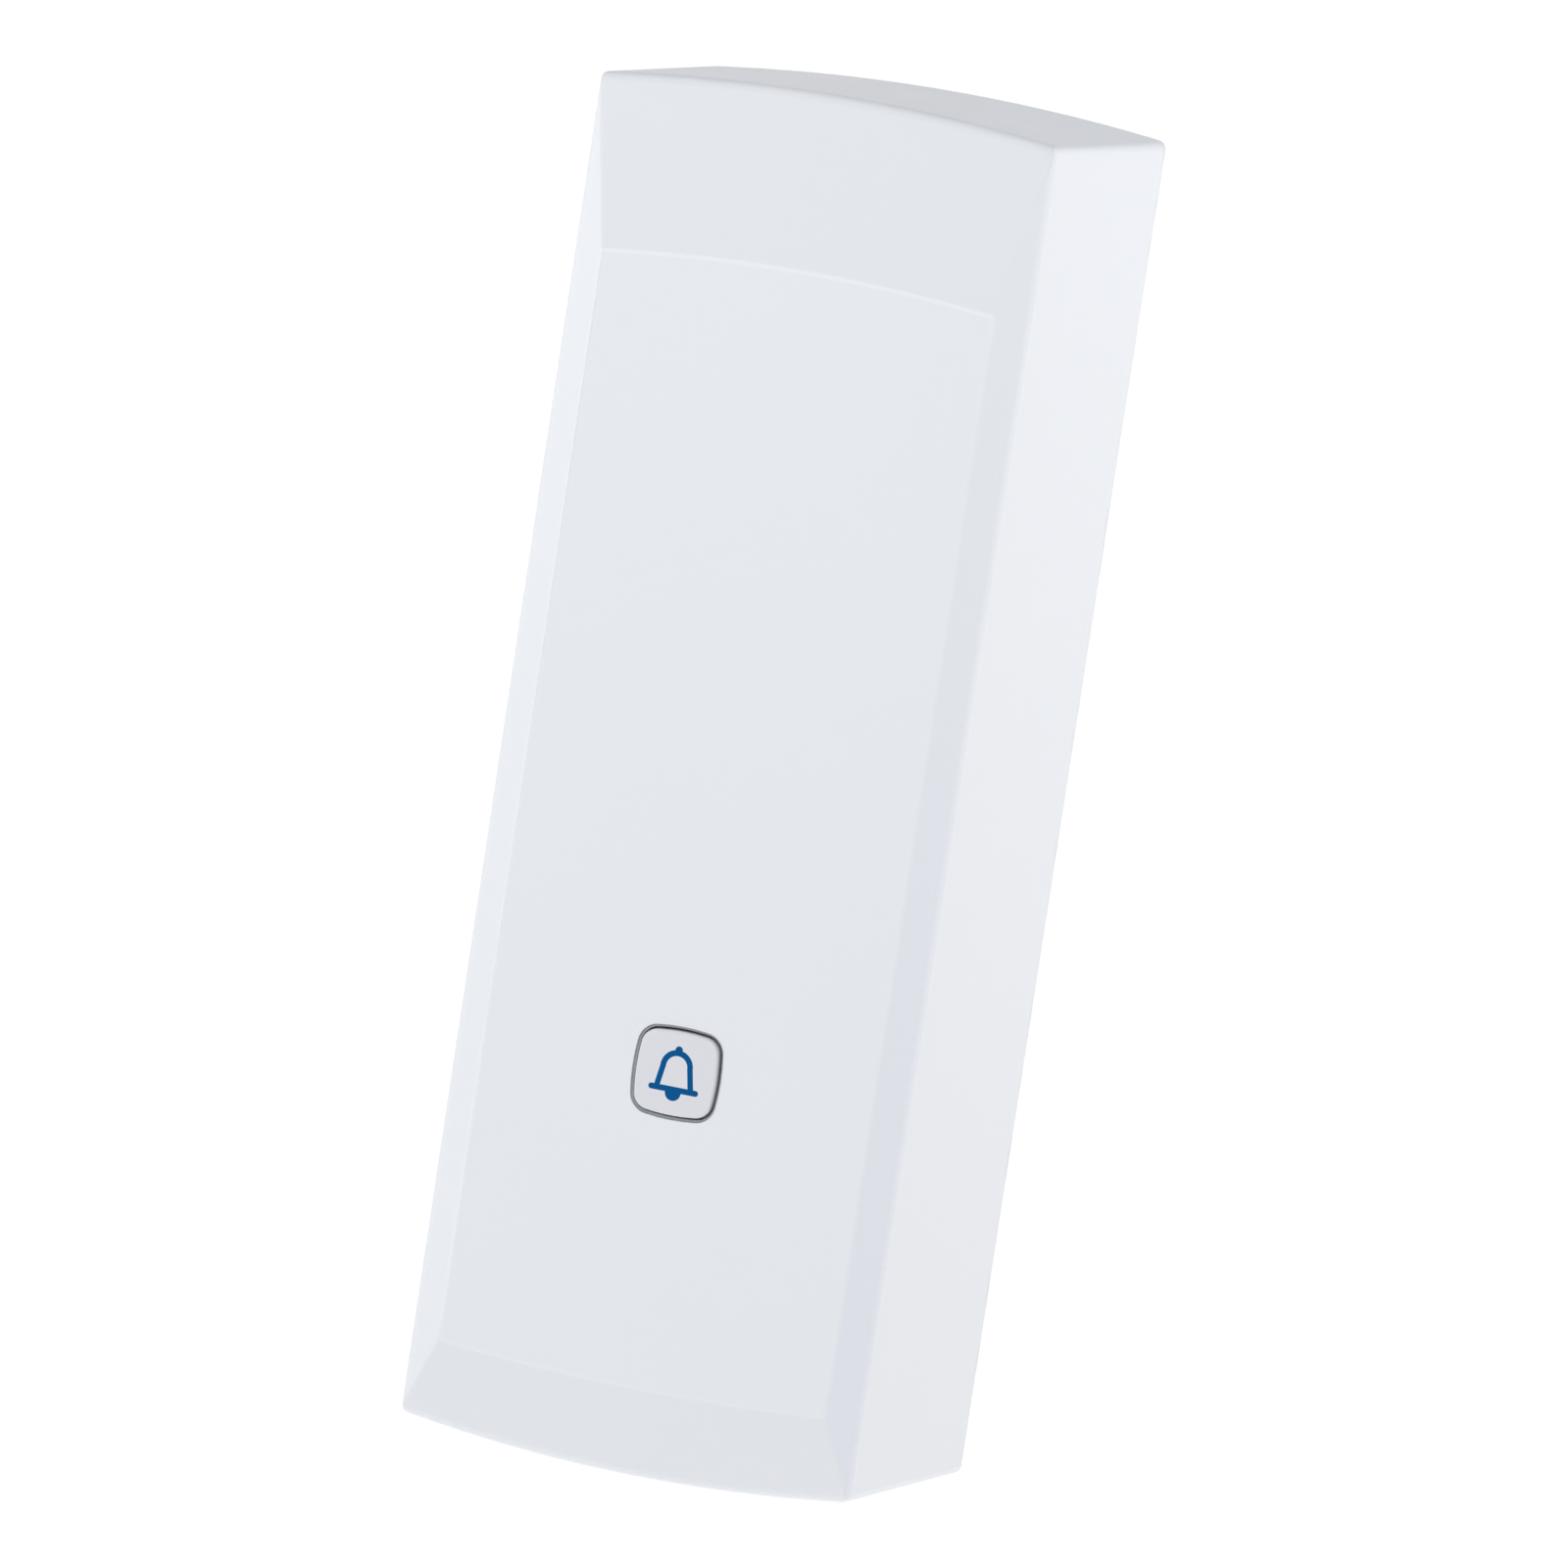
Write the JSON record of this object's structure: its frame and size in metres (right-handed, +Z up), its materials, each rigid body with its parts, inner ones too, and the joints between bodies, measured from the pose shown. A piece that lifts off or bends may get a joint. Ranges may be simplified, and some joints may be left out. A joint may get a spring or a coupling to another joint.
{
  "type": "wireless doorbell unit",
  "caption": "Slim battery doorbell housing with a raised front panel, a rounded-square push button and a wall bracket it hooks onto.",
  "frame": {"origin": "centre of the wall bracket's back face, on the wall", "axes": "+X to the visitor's right, +Y into the wall, +Z up; the button faces -Y"},
  "size_m": [0.0616, 0.0465, 0.1757],
  "materials": {
    "housing_white": "satin, very fine texture",
    "cap_white": "satin",
    "sign_blue": "inlaid blue plastic",
    "seal_grey": "soft, matt, slightly translucent",
    "gasket_black": "matt",
    "foam_grey": "open-cell foam",
    "bracket_white": "matt moulded",
    "tray_white": "matt moulded",
    "guide_white": "matt moulded",
    "screw_steel": "zinc plated",
    "contact_nickel": "nickel plated",
    "cell_wrap": "plain printed film over a metal can",
    "lead_black": "smooth insulation",
    "lead_red": "smooth insulation",
    "board_green": "solder mask",
    "radio_green": "solder mask",
    "shield_tin": "tinned",
    "chip_black": "moulded epoxy",
    "switch_black": "moulded",
    "plunger_grey": "moulded",
    "lamp_white": "clear resin over a white base",
    "can_aluminium": "drawn can",
    "connector_cream": "moulded nylon",
    "antenna_amber": "polyimide film"
  },
  "bodies": {
    "bracket": {"wall_bracket": "bracket_white"},
    "case": {"front_cover": "housing_white", "button_seal": "seal_grey", "case_gasket": "gasket_black", "base_tray": "tray_white", "button_guide": "guide_white", "cover_screws": "screw_steel", "guide_screws": "screw_steel", "board_screws": "screw_steel", "bridge_contact": "contact_nickel", "negative_contact": "contact_nickel", "positive_contact": "contact_nickel", "contact_springs": "contact_nickel", "battery_cell_1": "cell_wrap", "battery_cell_2": "cell_wrap", "battery_cell_3": "cell_wrap", "battery_cell_4": "cell_wrap", "battery_lead_black": "lead_black", "antenna_cable": "lead_black", "battery_lead_red": "lead_red", "main_board": "board_green", "radio_board": "radio_green", "radio_shield": "shield_tin", "controller_chip": "chip_black", "switch_body": "switch_black", "status_led": "lamp_white", "board_capacitors": "can_aluminium", "battery_connector": "connector_cream", "antenna_patch": "antenna_amber"},
    "button": {"button_cap": "cap_white", "button_sign": "sign_blue"},
    "plunger": {"switch_plunger": "plunger_grey"},
    "battery_door": {"battery_door": "tray_white", "door_foam": "foam_grey"}
  },
  "joints": [
    {"name": "case_lift", "type": "slide", "parent": "bracket", "child": "case", "axis": [0, 0, 1], "range_m": [0, 0.007]},
    {"name": "button_push", "type": "slide", "parent": "case", "child": "button", "axis": [0, 1, 0], "range_m": [0, 0.0005], "stiffness_N_per_m": 3000, "springref_m": -0.0002},
    {"name": "switch_press", "type": "slide", "parent": "case", "child": "plunger", "axis": [0, 1, 0], "range_m": [0, 0.0005]},
    {"name": "battery_door_slide", "type": "slide", "parent": "case", "child": "battery_door", "axis": [0, 0, 1], "range_m": [0, 0.006]}
  ],
  "couplings": [
    {"joint": "switch_press", "follows": "button_push", "ratio": 1}
  ]
}
